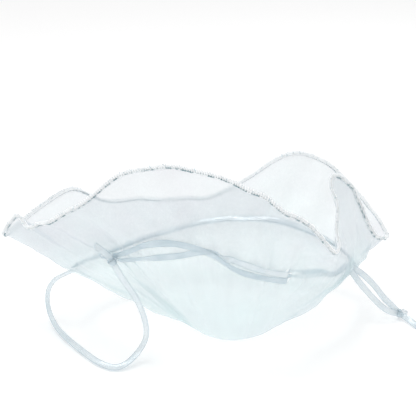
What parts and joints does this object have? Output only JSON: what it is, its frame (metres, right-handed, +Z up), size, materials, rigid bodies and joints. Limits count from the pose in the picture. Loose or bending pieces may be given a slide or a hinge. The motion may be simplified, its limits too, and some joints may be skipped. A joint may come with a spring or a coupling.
{
  "type": "drawstring gift pouch",
  "caption": "Round sheer organza gift pouch standing open, gathered by two satin ribbon drawstrings threaded through slits in the cloth, with a wavy flounce and a silver overlocked rim.",
  "frame": {"origin": "centre of the flat disc that the pouch stands on", "axes": "+Z up out of the mouth, -X the way the left ribbon is pulled, +X the way the right ribbon is pulled, -Y the front"},
  "size_m": [0.1976, 0.1334, 0.1018],
  "materials": {
    "organza": "sheer, crisp, with a faint cool shimmer",
    "satin_ribbon": "glossy satin",
    "metallic_thread": "silver metallic thread"
  },
  "bodies": {
    "pouch": {"bottom": "organza", "left_fold": "organza", "left_ribbon_left_run": "satin_ribbon", "left_ribbon_right_run": "satin_ribbon", "right_fold": "organza", "right_ribbon_left_run": "satin_ribbon", "right_ribbon_right_run": "satin_ribbon", "rim_overlock_left": "metallic_thread", "rim_overlock_right": "metallic_thread"},
    "front_mouth": {"front_wall": "organza", "left_ribbon_front_run": "satin_ribbon", "right_ribbon_front_run": "satin_ribbon", "rim_overlock_front": "metallic_thread"},
    "rear_mouth": {"left_ribbon_rear_run": "satin_ribbon", "rear_wall": "organza", "right_ribbon_rear_run": "satin_ribbon", "rim_overlock_rear": "metallic_thread"},
    "left_drawstring": {"left_ribbon_knot": "satin_ribbon", "left_ribbon_loop": "satin_ribbon", "left_ribbon_tail": "satin_ribbon"},
    "right_drawstring": {"right_ribbon_knot": "satin_ribbon", "right_ribbon_lower_leg": "satin_ribbon", "right_ribbon_tails": "satin_ribbon", "right_ribbon_upper_leg": "satin_ribbon"}
  },
  "joints": [
    {"name": "left_drawstring_pull", "type": "slide", "parent": "pouch", "child": "left_drawstring", "axis": [-1, 0, 0], "range_m": [0, 0.04]},
    {"name": "right_drawstring_pull", "type": "slide", "parent": "pouch", "child": "right_drawstring", "axis": [1, 0, 0], "range_m": [0, 0.04]},
    {"name": "front_mouth_gather", "type": "hinge", "parent": "pouch", "child": "front_mouth", "pos_m": [0, -0.012, 0.006], "axis": [-1, 0, 0], "range_deg": [0, 30]},
    {"name": "rear_mouth_gather", "type": "hinge", "parent": "pouch", "child": "rear_mouth", "pos_m": [0, 0.012, 0.006], "axis": [1, 0, 0], "range_deg": [0, 30]}
  ],
  "couplings": [
    {"joint": "right_drawstring_pull", "follows": "left_drawstring_pull", "ratio": 1},
    {"joint": "front_mouth_gather", "follows": "left_drawstring_pull", "rad_per_m": 13.08},
    {"joint": "rear_mouth_gather", "follows": "left_drawstring_pull", "rad_per_m": 13.08}
  ]
}
